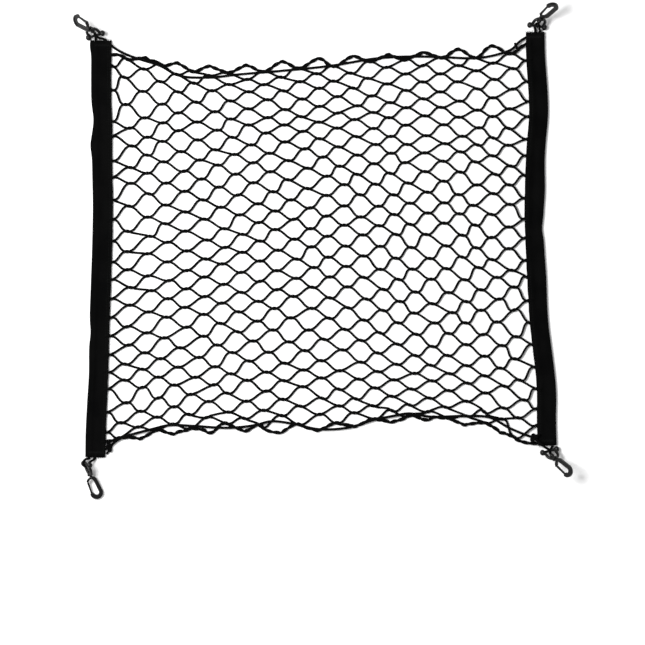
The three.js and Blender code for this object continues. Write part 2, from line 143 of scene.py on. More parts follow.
# %% Tubes
def tube(points, radius, sides, cap=0.6, turn=0.0):
    """Rings of points along a line. Returns points, faces and one (round, along) pair for each corner."""
    points = np.asarray(points, float)
    radii = np.broadcast_to(np.asarray(radius, float), (len(points),)).copy()
    tangents = np.gradient(points, axis=0)
    tangents /= np.linalg.norm(tangents, axis=1)[:, None]
    if cap:
        for share in (0.75, 1.0):
            reach = cap * (share - 0.35)
            points = np.concatenate([[points[0] - tangents[0] * radii[0] * reach * 0.6], points,
                                     [points[-1] + tangents[-1] * radii[-1] * reach * 0.6]])
            tangents = np.concatenate([tangents[:1], tangents, tangents[-1:]])
            narrow = 0.86 if share < 1 else 0.55
            radii = np.concatenate([[radii[0] * narrow], radii, [radii[-1] * narrow]])
    side = np.cross(tangents[0], (0.0, 0.0, 1.0))
    if np.linalg.norm(side) < 0.1:
        side = np.cross(tangents[0], (0.0, 1.0, 0.0))
    angles = turn + np.arange(sides) * 2 * math.pi / sides
    rings = []
    for place, tangent, size in zip(points, tangents, radii):
        side = side - tangent * side.dot(tangent)
        side /= np.linalg.norm(side)
        up = np.cross(side, tangent)
        rings.append(place + size * (np.cos(angles)[:, None] * side + np.sin(angles)[:, None] * up))
    return skin(np.array(rings), distances(points), 2 * math.pi * radii.max())


def skin(rings, along, girth, closed_round=True, ends=True):
    """Faces over a grid of rings."""
    count, sides = rings.shape[:2]
    around = np.arange(sides if closed_round else sides - 1)
    ring = np.arange(count - 1)[:, None] * sides
    a, b = ring + around, ring + (around + 1) % sides
    faces = np.stack([a, b, b + sides, a + sides], axis=2).reshape(-1, 4)
    width = girth / sides
    low, high = around * width + 0 * ring, (around + 1) * width + 0 * ring
    near = np.repeat(along[:-1][:, None], len(around), 1)
    far = np.repeat(along[1:][:, None], len(around), 1)
    pairs = [(low, near), (high, near), (high, far), (low, far)]
    corners = np.stack([np.stack(pair, axis=2) for pair in pairs], axis=2).reshape(-1, 4, 2)
    faces, corners = faces.tolist(), corners.tolist()
    if ends:
        last = (count - 1) * sides
        faces += [list(range(sides))[::-1], [last + k for k in range(sides)]]
        corners += [[[0.0, 0.0]] * sides] * 2
    return rings.reshape(-1, 3), faces, corners


class Basket:
    """Collects tubes and patches in millimetres and makes one mesh object of them."""

    def __init__(self):
        self.points, self.faces, self.corners, self.count = [], [], [], 0

    def add(self, points, faces, corners):
        self.points.append(points)
        self.faces += [[index + self.count for index in face] for face in faces]
        self.corners += corners
        self.count += len(points)

    def make(self, name, body, slot, finish, stands_for=()):
        mesh = bpy.data.meshes.new(name)
        mesh.from_pydata((np.concatenate(self.points) * MM).tolist(), [], self.faces)
        layer = mesh.uv_layers.new(name="millimetres")
        layer.data.foreach_set("uv", np.concatenate([np.ravel(pair) for pair in self.corners]))
        mesh.polygons.foreach_set("use_smooth", [True] * len(mesh.polygons))
        mesh.update()
        return place(bpy.data.objects.new(name, mesh), body, slot, finish, stands_for)


def place(piece, body, slot, finish, stands_for=()):
    """Puts a finished piece in the scene: its finish, its body and the solids it stands for. The slot is not used.
    """
    bpy.context.scene.collection.objects.link(piece)
    piece.data.materials.append(finish)
    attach(piece, body)
    if stands_for:
        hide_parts(*stands_for)
    size = [round(side / MM, 1) for side in piece.dimensions]
    print(f"{piece.name}: {len(piece.data.polygons)} faces, {size} mm, rides {body}")
    return piece


# %% [markdown]
# ## Finishes: effects that several materials share
# Everything on this net is black, so what tells yarn from plastic is how each breaks up the light. An
# effect that is used more than once is a node group with named sockets, like a function: it takes
# coordinates and sizes, and gives back a height or a mask. The shader itself stays in each material.

# %% Node helpers
def new_group(name, inputs, outputs):
    """A shader node group with named sockets. inputs maps a name to its default: a number or a colour."""
    group = bpy.data.node_groups.new(name, "ShaderNodeTree")
    for socket, default in inputs.items():
        kind = "NodeSocketFloat" if isinstance(default, float) else "NodeSocketVector"
        made = group.interface.new_socket(socket, in_out="INPUT", socket_type=kind)
        if isinstance(default, float):
            made.default_value = default
    for socket in outputs:
        group.interface.new_socket(socket, in_out="OUTPUT", socket_type="NodeSocketFloat")
    return group, Wiring(group, grouped=True)


class Wiring:
    """Adds nodes to a tree and joins them, so that a pattern reads as a short list of steps."""

    def __init__(self, tree, grouped=False):
        self.tree = tree
        self.given = tree.nodes.new("NodeGroupInput") if grouped else None

    def node(self, kind, settings=None, **links):
        made = self.tree.nodes.new(kind)
        for name, value in (settings or {}).items():
            setattr(made, name, value)
        for name, value in links.items():
            key = int(name[1:]) if name[0] == "_" else name.replace("_", " ")
            self.feed(made.inputs[key], value)
        return made

    def feed(self, socket, value):
        if isinstance(value, bpy.types.NodeSocket):
            self.tree.links.new(value, socket)
        else:
            socket.default_value = value

    def math(self, operation, a, b=0.0, c=0.0):
        return self.node("ShaderNodeMath", {"operation": operation}, _0=a, _1=b, _2=c).outputs[0]

    def ramp(self, value, low, high, out_low=0.0, out_high=1.0):
        made = self.node("ShaderNodeMapRange", {"interpolation_type": "SMOOTHSTEP"}, Value=value)
        for name, number in zip(("From Min", "From Max", "To Min", "To Max"), (low, high, out_low, out_high)):
            self.feed(made.inputs[name], number)
        return made.outputs["Result"]

    def noise(self, vector, scale, detail=3.0):
        made = self.node("ShaderNodeTexNoise", {"noise_dimensions": "3D"}, Vector=vector, Scale=scale, Detail=detail)
        return made.outputs["Fac"]


# %% [markdown]
# ### Braid
# Elastic strand and edge cord are rubber cores inside a braided yarn sleeve. A braid is two sets of
# yarns that climb the cord in opposite helices. Each set is a wave in (round + along) or
# (round - along), and the greater of the two waves is the yarn on top. Coordinates are in millimetres.

# %% Braid group
def make_braid():
    group, wire = new_group("braid", {"Place": (0, 0, 0), "Pitch": 3.0, "Yarn Width": 0.6},
                            ("Height", "Gap Shade"))
    split = wire.node("ShaderNodeSeparateXYZ", _0=wire.given.outputs["Place"])
    turn = wire.math("DIVIDE", split.outputs["X"], wire.given.outputs["Yarn Width"])
    climb = wire.math("DIVIDE", split.outputs["Y"], wire.given.outputs["Pitch"])
    climb = wire.math("MULTIPLY", climb, 4.0)
    waves = []
    for sign in ("ADD", "SUBTRACT"):
        phase = wire.math("MULTIPLY", wire.math(sign, turn, climb), math.pi)
        waves.append(wire.math("ABSOLUTE", wire.math("SINE", phase)))
    height = wire.math("MAXIMUM", waves[0], waves[1])
    # Gap Shade marks where the yarns part. The finishes paint shade there by darkening the base colour.
    gap_shade = wire.ramp(height, 0.35, 0.75, 1.0, 0.0)
    out = wire.node("NodeGroupOutput")
    wire.feed(out.inputs["Height"], height)
    wire.feed(out.inputs["Gap Shade"], gap_shade)
    return group


braid_group = make_braid()

# %% [markdown]
# ### Webbing weave
# The side sleeves are flat woven tape. Its warp yarns run the length of the tape as fine ribs, and the
# weft shows between them as short dashes that alternate from rib to rib, as in a plain weave.

# %% Weave group
def make_weave():
    group, wire = new_group("tape_weave", {"Place": (0, 0, 0), "Rib": 1.3, "Pick": 0.9}, ("Height", "Gap Shade"))
    split = wire.node("ShaderNodeSeparateXYZ", _0=wire.given.outputs["Place"])
    across = wire.math("DIVIDE", split.outputs["X"], wire.given.outputs["Rib"])
    along = wire.math("DIVIDE", split.outputs["Y"], wire.given.outputs["Pick"])
    rib = wire.math("ABSOLUTE", wire.math("SINE", wire.math("MULTIPLY", across, math.pi)))
    odd = wire.math("MODULO", wire.math("FLOOR", across), 2.0)
    shifted = wire.math("ADD", along, wire.math("MULTIPLY", odd, 0.5))
    pick = wire.math("ABSOLUTE", wire.math("SINE", wire.math("MULTIPLY", shifted, math.pi)))
    height = wire.math("MULTIPLY", wire.math("POWER", rib, 0.6), wire.math("MULTIPLY_ADD", pick, 0.45, 0.55))
    # Gap Shade marks the low places between ribs and picks. The finishes paint shade there by darkening the base
    # colour.
    gap_shade = wire.ramp(height, 0.15, 0.5, 1.0, 0.0)
    out = wire.node("NodeGroupOutput")
    wire.feed(out.inputs["Height"], height)
    wire.feed(out.inputs["Gap Shade"], gap_shade)
    return group


weave_group = make_weave()

# %% [markdown]
# ### Handling: dust, lint and uneven dye
# New black goods are never one black. Dye takes unevenly over a few centimetres, and pale lint and dust
# catch in the yarn in small specks. The same group serves cloth and plastic with other amounts. It reads
# object coordinates, which are in metres, so the scales are cycles per metre.

# %% Handling group
def make_handling():
    group, wire = new_group("handling", {"Patch Scale": 30.0, "Speck Scale": 900.0}, ("Patches", "Specks"))
    where = wire.node("ShaderNodeTexCoord").outputs["Object"]
    patches = wire.ramp(wire.noise(where, wire.given.outputs["Patch Scale"], 4.0), 0.35, 0.68)
    specks = wire.ramp(wire.noise(where, wire.given.outputs["Speck Scale"], 2.0), 0.66, 0.78)
    out = wire.node("NodeGroupOutput")
    wire.feed(out.inputs["Patches"], patches)
    wire.feed(out.inputs["Specks"], specks)
    return group


handling_group = make_handling()
print("node groups:", [group.name for group in bpy.data.node_groups])

# %% [markdown]
# ## The four finishes
# Each one is a Principled shader with its own values. The base colour goes from a painted shade in the gaps
# between yarns to the slightly lighter yarn, and then towards grey where lint has caught. What is the
# same all over, such as the sheen of yarn, is set straight on the shader.

# %% Finish builder
def start_finish(name, **same_all_over):
    material = bpy.data.materials.new(name)
    material.use_nodes = True
    tree = material.node_tree
    shader = tree.nodes["Principled BSDF"]
    for socket, value in same_all_over.items():
        shader.inputs[socket.replace("_", " ")].default_value = value
    wire = Wiring(tree)
    return material, wire, shader


def use_group(wire, group, **values):
    return wire.node("ShaderNodeGroup", {"node_tree": group}, **values).outputs


def blend_colours(wire, share, first, second):
    made = wire.node("ShaderNodeMix", {"data_type": "RGBA"}, _0=share)
    wire.feed(made.inputs[6], first)
    wire.feed(made.inputs[7], second)
    return made.outputs[2]


def grey(value, warm=0.0):
    return (value * (1 + warm), value, value * (1 - warm), 1.0)


def cloth(name, pattern_group, pattern, gap_shade_colour, light, lint, relief, patches, roughness=0.8):
    """A yarn finish: a braid or weave pattern over millimetre coordinates, with painted shade in the gaps between
    yarns, uneven dye and lint.
    """
    material, wire, shader = start_finish(
        name, Sheen_Weight=0.01, Sheen_Roughness=0.4, Specular_IOR_Level=0.035)
    place_mm = wire.node("ShaderNodeUVMap", {"uv_map": "millimetres"}).outputs["UV"]
    woven = use_group(wire, pattern_group, Place=place_mm, **pattern)
    worn = use_group(wire, handling_group, Patch_Scale=patches, Speck_Scale=1100.0)
    yarn = blend_colours(wire, worn["Patches"], grey(light), grey(light * 0.72, -0.03))
    # Painted shade: the gaps between yarns take a darker base colour than the yarn.
    colour = blend_colours(wire, woven["Gap Shade"], yarn, grey(gap_shade_colour))
    colour = blend_colours(wire, wire.math("MULTIPLY", worn["Specks"], 0.5), colour, grey(lint, 0.04))
    wire.feed(shader.inputs["Base Color"], colour)
    rough = wire.math("MULTIPLY_ADD", worn["Patches"], 0.1, roughness)
    wire.feed(shader.inputs["Roughness"], rough)
    bump = wire.node("ShaderNodeBump", Strength=0.9, Distance=relief * MM, Height=woven["Height"])
    wire.feed(shader.inputs["Normal"], bump.outputs["Normal"])
    return material


netting_finish = cloth("elastic_netting_black", braid_group, {"Pitch": 2.6, "Yarn_Width": 0.55},
                       0.0006, 0.0022, 0.012, 0.12, 22.0)
tape_finish = cloth("woven_tape_black", weave_group, {"Rib": 1.3, "Pick": 0.9},
                    0.0004, 0.0016, 0.008, 0.16, 28.0)
cord_finish = cloth("elastic_cord_black", braid_group, {"Pitch": 4.4, "Yarn_Width": 0.7},
                    0.0006, 0.0024, 0.012, 0.18, 22.0)
thread_finish = cloth("sewing_thread_black", braid_group, {"Pitch": 1.0, "Yarn_Width": 0.4},
                      0.0025, 0.0070, 0.03, 0.05, 40.0, 0.6)

# %% [markdown]
# ### Moulded plastic
# The fittings are injection-moulded nylon. Fresh from the mould the skin is satin, with a very fine
# texture, and it is a little more open where the metal flowed last. Handling rubs the outer edges
# smoother and slightly paler. Pointiness finds those edges without any painting.

# %% Plastic finish
def plastic():
    material, wire, shader = start_finish("moulded_plastic_black", Specular_IOR_Level=0.22)
    where = wire.node("ShaderNodeTexCoord").outputs["Object"]
    worn = use_group(wire, handling_group, Patch_Scale=140.0, Speck_Scale=1600.0)
    edge = wire.ramp(wire.node("ShaderNodeNewGeometry").outputs["Pointiness"], 0.52, 0.62)
    colour = blend_colours(wire, wire.math("MULTIPLY", edge, 0.6), grey(0.0022, -0.04), grey(0.006))
    colour = blend_colours(wire, wire.math("MULTIPLY", worn["Specks"], 0.35), colour, grey(0.03, 0.03))
    wire.feed(shader.inputs["Base Color"], colour)
    rough = wire.math("MULTIPLY_ADD", worn["Patches"], 0.12, 0.34)
    wire.feed(shader.inputs["Roughness"], wire.math("MULTIPLY_ADD", edge, -0.06, rough))
    skin_texture = wire.noise(where, 3200.0, 2.0)
    bump = wire.node("ShaderNodeBump", Strength=0.25, Distance=0.05 * MM, Height=skin_texture)
    wire.feed(shader.inputs["Normal"], bump.outputs["Normal"])
    return material


plastic_finish = plastic()
print("finishes:", [material.name for material in bpy.data.materials])

# %% [markdown]
# ## Where the net lies
# The net is not a neat rectangle: it was spread by hand, its edges draw in between the corners, and its
# meshes lean. Nine stations down the net say where its edge and three points between lie. A point at any
# share across and down then comes from smooth curves, so strands drawn on the map share its lean.

# %% The net's map
NET_STATIONS = [
    (0.00, (-325, 306), (-174, 284), (-8, 296), (154, 305), (313, 320)),
    (0.05, (-325, 285), (-172, 268), (-8, 272), (153, 285), (314, 293)),
    (0.15, (-326, 203), (-169, 216), (-6, 222), (155, 234), (318, 231)),
    (0.25, (-325, 140), (-165, 157), (-4, 171), (157, 177), (314, 174)),
    (0.45, (-326, 14), (-154, 36), (8, 53), (159, 58), (311, 51)),
    (0.65, (-328, -103), (-155, -79), (11, -72), (169, -78), (316, -74)),
    (0.85, (-333, -212), (-172, -204), (-3, -196), (166, -202), (329, -212)),
    (0.95, (-335, -279), (-176, -260), (-7, -251), (162, -245), (328, -268)),
    (1.00, (-335, -293), (-177, -277), (-8, -276), (162, -259), (329, -290)),
]
station_shares = [station[0] for station in NET_STATIONS]
station_columns = [[station[1 + k] for station in NET_STATIONS] for k in range(5)]


def net_point(across, down):
    places = np.interp(down, station_shares, np.linspace(0, 1, len(station_shares)))
    row = [curve_at(column, [places])[0] for column in station_columns]
    return curve_at(row, [across])[0]


edge_shares = np.linspace(0, 1, 60)
net_edges = {-1: np.array([net_point(0, share) for share in edge_shares]),
             1: np.array([net_point(1, share) for share in edge_shares])}

NET_LIFT = 1.8
NET_THICKNESS = 2.6
LIFT_START, LIFT_END = 2.0, 60.0


def net_base(x, y):
    """Height of the net's underside: it comes out of a sleeve raised and settles to the floor."""
    side = -1 if x < 0 else 1
    edge = net_edges[side]
    edge_x = np.interp(-y, -edge[:, 1], edge[:, 0])
    return NET_LIFT * (1 - smoothstep((edge_x - x) * side, LIFT_START, LIFT_END))


def ripple(x, y):
    """How far the loose net stands off the floor: low waves that die out before the edges."""
    inner = smoothstep(min(300 - y, y + 280), 20, 80) * smoothstep(318 - abs(x + 3), 10, 80)
    wave = noise.noise(Vector((x * 0.011 + 4.2, y * 0.014, 0.7)))
    wave += 0.5 * noise.noise(Vector((x * 0.03, y * 0.03, 3.1)))
    return float(inner) * max(0.0, wave) * 1.6


print("net is", round(net_point(1, 0.5)[0] - net_point(0, 0.5)[0]), "mm wide between the sleeves")

# %% [markdown]
# ## The strands
# A real net of this kind is knotless: each elastic strand zigzags from side to side, and where it meets
# the one above it the two are twisted round each other for a few millimetres. Drawing every mesh as a
# closed ring would be simpler, but would lose those twisted joints. So each strand is drawn as itself.
# Strand s keeps between rows s and s + 1 of a lattice, and at each joint it winds once round its neighbour.

# %% Strand layout
MESH_COLUMNS = 24
MESH_ROWS = 40
STRAND_RADIUS = 1.8
JOINT_HALF = 6.0
TWIST_OFFSET = 1.3
JOINT_TILT = -5.0
TUCK = 8.0
JOINT_NUDGES = {(0, 0): (0, -6), (1, 1): (-1, 4), (23, 39): (-4, -11), (24, 40): (0, -6)}
JOINT_TURNS = {(0, 0): 38, (22, 40): -14, (23, 39): -22, (24, 40): 30}
net_random = random.Random(41)


def lattice_places():
    """Each joint's place and tilt. Neighbours drift together, as they do in cloth, so the meshes
    stay even in size while their rows wander; only a little of the unevenness is each joint's own."""
    places, tilts = {}, {}
    for row in range(MESH_ROWS + 1):
        for column in range(row % 2, MESH_COLUMNS + 1, 2):
            x, y = net_point(column / MESH_COLUMNS, row / MESH_ROWS)
            inside = 0 < column < MESH_COLUMNS
            free = 1 if inside and 0 < row < MESH_ROWS else 0
            side = max(0.0, 1 - min(column, MESH_COLUMNS - column) / 4)
            drift = noise.noise_vector(Vector((x * 0.016, y * 0.02, 5.3)))
            slack = max(0.0, 1 - (MESH_ROWS - row) / 7)
            own = (0.6 + 0.5 * side + 1.5 * slack) * (0.4 + 0.6 * free)
            x += (drift.x * (6 + 3 * side) * free + net_random.gauss(0, own)) * (1 if inside else 0)
            y += drift.y * (4.5 + 3.5 * side) * free + net_random.gauss(0, own if inside else 1.8)
            nudge = JOINT_NUDGES.get((column, row), (0, 0))
            places[column, row] = np.array([x + nudge[0], y + nudge[1]])
            tilt = JOINT_TILT * free + drift.z * 12 * free + net_random.gauss(0, 3 + 5 * side + 9 * slack)
            tilts[column, row] = math.radians(JOINT_TURNS.get((column, row), tilt))
    return places, tilts


joint_places, joint_tilts = lattice_places()
TWIST_SHARES = np.array([-1, -0.6, -0.2, 0.2, 0.6, 1.0])
SLANT_SHARES = np.array([0.2, 0.4, 0.6, 0.8])


def joint_frame(column, row):
    x, y = joint_places[column, row]
    near = net_point(min(column + 1, MESH_COLUMNS) / MESH_COLUMNS, row / MESH_ROWS)
    far = net_point(max(column - 1, 0) / MESH_COLUMNS, row / MESH_ROWS)
    lean = math.atan2(near[1] - far[1], near[0] - far[0]) + joint_tilts[column, row]
    along = np.array([math.cos(lean), math.sin(lean)])
    return np.array([x, y]), along, np.array([-along[1], along[0]])


def joint_points(column, row, side):
    """The twisted part of one strand. side is +1 for the strand above the joint and -1 for the one below."""
    middle, along, across = joint_frame(column, row)
    start, stop = -JOINT_HALF, JOINT_HALF
    if column == 0:
        start = -TUCK
    if column == MESH_COLUMNS:
        stop = TUCK
    points = []
    for share in TWIST_SHARES:
        reach = start + (stop - start) * (share + 1) / 2
        swing = math.cos(math.pi * share)
        lift = math.sin(math.pi * share)
        flat = middle + along * reach + across * side * TWIST_OFFSET * -swing
        height = net_base(*flat) + ripple(*flat) + STRAND_RADIUS + 0.4 + side * lift * 0.5
        points.append((flat[0], flat[1], height))
    return points


def slant_points(start, start_way, end, end_way):
    """From one joint to the next: the strand leaves and enters along the joints and bends between."""
    start, end = np.array(start), np.array(end)
    pull = 0.75 * np.linalg.norm(end - start)
    flat = []
    for t in SLANT_SHARES:
        a, b = 2 * t**3 - 3 * t**2 + 1, t**3 - 2 * t**2 + t
        c, d = -2 * t**3 + 3 * t**2, t**3 - t**2
        point = a * start[:2] + b * start_way * pull + c * end[:2] + d * end_way * pull
        point = 0.62 * point + 0.38 * (start[:2] + (end[:2] - start[:2]) * t)
        height = net_base(*point) + ripple(*point) + STRAND_RADIUS + 0.12
        flat.append((point[0], point[1], height))
    return flat


def strand_line(strand):
    line, last = [], None
    for column in range(MESH_COLUMNS + 1):
        upper = (column + strand) % 2 == 0
        row = strand if upper else strand + 1
        twisted = joint_points(column, row, -1 if upper else 1)
        way = joint_frame(column, row)[1]
        if last:
            line += slant_points(last[0], last[1], twisted[0], way)
        line += twisted
        last = (twisted[-1], way)
    return np.array(line)


strand_lines = [strand_line(strand) for strand in range(MESH_ROWS)]
strand_length = sum(distances(line)[-1] for line in strand_lines) * MM
print("strands:", len(strand_lines), "with", round(strand_length, 1), "m of elastic in the net")

# %% [markdown]
# ### The doubled selvedge
# The first and the last strand carry the pull of the edge, so each has a second strand twisted round it.
# The two wind about their common line with a pitch of some 15 mm, flatter than a circle because they lie
# on the floor.

# %% Twisted pair
def twisted_pair(line, offset, pitch, phase=0.0):
    """Two lines that wind round the given one."""
    along = distances(line)
    ways = np.gradient(line, axis=0)
    sides = np.cross(ways, (0, 0, 1.0))
    sides /= np.linalg.norm(sides, axis=1)[:, None]
    pair = []
    for turn in (0, math.pi):
        angle = 2 * math.pi * along / pitch + phase + turn
        moved = line + sides * (offset * np.cos(angle))[:, None]
        moved[:, 2] += 0.45 * offset * (np.sin(angle) + 0.6)
        pair.append(moved)
    return pair


net_basket = Basket()
for strand, line in enumerate(strand_lines):
    lines = [line]
    if strand in (0, MESH_ROWS - 1):
        lines = twisted_pair(even_steps(line, 3.2), 1.25, 26.0, phase=0.4 * strand)
    for member in lines:
        uneven = [1 + 0.05 * noise.noise(Vector((k * 0.35, strand * 3.7, 0))) for k in range(len(member))]
        net_basket.add(*tube(member, STRAND_RADIUS * np.array(uneven), 8, cap=0))
# The selvedge's cut end, left standing beside the upper right sleeve
stub = smooth_route([(302, 309, 3.4), (298.5, 312, 4.6), (296.5, 316.5, 6.2), (295.6, 319.5, 6.8)], 1.0)
net_basket.add(*tube(stub, 2.0, 12, cap=1.0))
net_piece = net_basket.make("net_strands", NET_BODY, "elastic_netting", netting_finish, ["net"])

# %% [markdown]
# ## The side sleeves
# Each side of the net is bound by a wide tape folded lengthways over the edge cord and the ends of the
# strands, then sewn shut along its open side. A flat box would show none of that. The section is drawn as
# one line from the lower lip, round the fold and back over the top. The top rides up over the cord, sags
# beyond it, rises where a pair of strands enters and dips again under the seam.

# %% Sleeve lines and section
SLEEVE_LINES = {
    -1: [(-341, 324), (-341.5, 290), (-341.5, 240), (-340, 190), (-340, 130), (-339, 70), (-340, 10),
         (-342, -50), (-344.5, -120), (-346, -180), (-348, -235), (-350, -280), (-350.5, -317)],
    1: [(326.5, 336.5), (327, 300), (330.5, 245), (331.5, 210), (328, 165), (325.5, 115), (324.5, 55),
        (326.5, 0), (329.5, -60), (333, -115), (339, -165), (343.5, -215), (343.5, -260), (345, -299)],
}
SLEEVE_WIDTHS = {-1: 31.0, 1: 28.5}
SLEEVE_NAMES = {-1: "sleeve_left", 1: "sleeve_right"}
TAPE_THICKNESS = 1.15
SLEEVE_HEIGHT = 6.8
CORD_FROM_MIDDLE = {-1: -8.5, 1: 8.0}
# Where the fold stands out (+) or is drawn in (-): place down the sleeve, how far, how long
FOLD_BULGES = {-1: [(317, 2.4, 12), (204, -2.2, 17), (163, 2.7, 16), (-126, -2.1, 16), (-190, -1.2, 34)],
               1: [(94, 2.4, 34), (34, -2.0, 13), (250, 0.9, 90), (-40, 1.0, 30), (-230, 1.1, 70)]}
SEAM_FROM_LIP = (2.6, 5.2)
FOLD_RADIUS = (SLEEVE_HEIGHT - TAPE_THICKNESS) / 2
entry_heights = {side: sorted(joint_places[column, row][1] for row in range(0, MESH_ROWS + 1, 2))
                 for side, column in ((-1, 0), (1, MESH_COLUMNS))}


def top_height(side, from_fold, y):
    """Middle of the upper layer, above the floor, at a distance from the fold."""
    width = SLEEVE_WIDTHS[side]
    cord_place = width / 2 - abs(CORD_FROM_MIDDLE[side])
    over_cord = math.exp(-((from_fold - cord_place) / 4.6) ** 2)
    entry = min(abs(y - place) for place in entry_heights[side])
    strand = math.exp(-(entry / 4.5) ** 2) * smoothstep(from_fold, width - 12, width - 5)
    lip = smoothstep(from_fold, width - 13, width - 6)
    wave = noise.noise(Vector((from_fold * 0.11, y * 0.03, side * 5.0)))
    ripple = noise.noise(Vector((from_fold * 0.25, y * 0.09, side * 9.0)))
    height = 4.0 + 2.15 * over_cord + 0.75 * lip + 0.55 * float(strand)
    height += 0.55 * wave * (1 - 0.6 * over_cord) + 0.2 * ripple
    for seam in SEAM_FROM_LIP:
        height -= 0.32 * math.exp(-((from_fold - (width - seam)) / 0.8) ** 2)
    return min(height, SLEEVE_HEIGHT - TAPE_THICKNESS / 2 - 0.05)


def section(side, y):
    """The tape's middle line across, as (distance from the fold, height) from lower lip to upper lip."""
    width = SLEEVE_WIDTHS[side]
    low = TAPE_THICKNESS / 2 + 0.02
    points = [(place, low) for place in np.linspace(width, FOLD_RADIUS, 9)]
    for angle in np.linspace(0, math.pi, 9)[1:-1]:
        points.append((FOLD_RADIUS * (1 - math.sin(angle)) + TAPE_THICKNESS / 2 * math.sin(angle),
                       low + FOLD_RADIUS * (1 - math.cos(angle))))
    join = smoothstep(np.linspace(0, 1, 30), 0.0, 0.16)
    for place, share in zip(np.linspace(FOLD_RADIUS, width, 30), join):
        fold_top = low + 2 * FOLD_RADIUS
        height = fold_top + (top_height(side, place, y) - fold_top) * share
        points.append((place, min(height, fold_top)))
    return np.array(points)


def sleeve_frame(side, step):
    line = smooth_route([(x, y, 0) for x, y in SLEEVE_LINES[side]], step)
    ways = np.gradient(line, axis=0)
    ways /= np.linalg.norm(ways, axis=1)[:, None]
    towards_net = np.stack([-ways[:, 1], ways[:, 0], 0 * ways[:, 0]], axis=1)
    return line, ways, towards_net * (1 if side < 0 else -1)


# %% [markdown]
# ### Cutting and folding the tape
# The tape has thickness, so the line is doubled: once pushed out and once in, and closed at both lips.
# Its two cut ends were heat-sealed by hand and are not straight, and the woven lips wander a little.

# %% Sleeves
def make_sleeve(side):
    width = SLEEVE_WIDTHS[side]
    line, ways, inward = sleeve_frame(side, 3.6)
    rings = []
    last = len(line) - 1
    for index, (middle, way, across) in enumerate(zip(line, ways, inward)):
        middle_line = section(side, middle[1])
        slopes = np.gradient(middle_line, axis=0)
        slopes /= np.linalg.norm(slopes, axis=1)[:, None]
        out = np.stack([slopes[:, 1], -slopes[:, 0]], axis=1) * TAPE_THICKNESS / 2
        loop = np.concatenate([middle_line - out, (middle_line + out)[::-1]])
        wander = 0.45 * noise.noise(Vector((middle[1] * 0.06, side * 3.0, 0)))
        wander += 0.22 * noise.noise(Vector((middle[1] * 0.4, side * 3.0, 7)))
        lip = smoothstep(loop[:, 0], width - 6, width)
        bulge = sum(far * math.exp(-((middle[1] - at) / reach) ** 2) for at, far, reach in FOLD_BULGES[side])
        places = loop[:, 0] + wander * lip
        places -= bulge * (1 - smoothstep(loop[:, 0], 0, width * 0.5))
        shift = np.zeros(len(loop))
        if index in (0, 1, last - 1, last):
            end = 0 if index < 2 else 1
            full = 1.0 if index in (0, last) else 0.45
            shift = np.array([1.3 * noise.noise(Vector((a * 0.35, z * 0.3, side * 11 + end * 5)))
                              + 0.5 * noise.noise(Vector((a * 1.3, z, side * 4 + end))) for a, z in loop])
            shift *= full
        ring = middle + across * (places - width / 2)[:, None] + way * shift[:, None]
        ring[:, 2] = loop[:, 1]
        rings.append(ring[::side])
    girth = 2 * (2 * width + 4)
    basket = Basket()
    basket.add(*skin(np.array(rings), distances(line), girth))
    name = SLEEVE_NAMES[side]
    piece = basket.make(name + "_tape", NET_BODY, "woven_tape", tape_finish, [name])
    return piece, distances(line)[-1]


# %% [markdown]
# ### Seams and loose threads
# Two rows of lockstitch close the sleeve near its lip, and a dense zigzag holds each end. Every stitch is
# a short bow of thread that comes up out of one hole and goes down the next. At the cut ends a few yarns
# have worked loose. They are separate meshes on the net's body.

# %% Thread work
STITCH = 3.0
STITCH_GAP = 1.1
THREAD_RADIUS = 0.32


def on_top(side, middle, across, from_fold, above):
    width = SLEEVE_WIDTHS[side]
    point = middle + across * (from_fold - width / 2)
    height = top_height(side, from_fold, middle[1]) + TAPE_THICKNESS / 2 + above
    return np.array([point[0], point[1], height])


def stitch_bow(start, end, rise=0.3):
    shares = np.linspace(0, 1, 5)
    bow = np.array([start + (end - start) * share for share in shares])
    bow[:, 2] += rise * np.sin(math.pi * shares) - 0.25
    return bow


def make_seams(side, seam_random):
    width = SLEEVE_WIDTHS[side]
    line, ways, inward = sleeve_frame(side, 1.0)
    basket = Basket()
    for seam in SEAM_FROM_LIP:
        place = 6.0
        while place < len(line) - 8:
            first, last = int(place), int(place + STITCH)
            slant = seam_random.gauss(0, 0.12)
            ends = [on_top(side, line[k], inward[k], width - seam + s, 0.12)
                    for k, s in ((first, -slant), (last, slant))]
            basket.add(*tube(stitch_bow(*ends), THREAD_RADIUS, 5, cap=0))
            place += STITCH + STITCH_GAP
    for start in (5, len(line) - 10):
        across_places = np.arange(3.2, width - 1.5, 1.15)
        zigzag = [(start + (4.5 if k % 2 else 0), a) for k, a in enumerate(across_places)]
        for (k, a), (m, b) in zip(zigzag, zigzag[1:]):
            ends = [on_top(side, line[int(k)], inward[int(k)], a, 0.1),
                    on_top(side, line[int(m)], inward[int(m)], b, 0.1)]
            basket.add(*tube(stitch_bow(*ends, rise=0.24), THREAD_RADIUS, 5, cap=0))
    return basket.make(SLEEVE_NAMES[side] + "_seams", NET_BODY, "woven_tape", thread_finish)


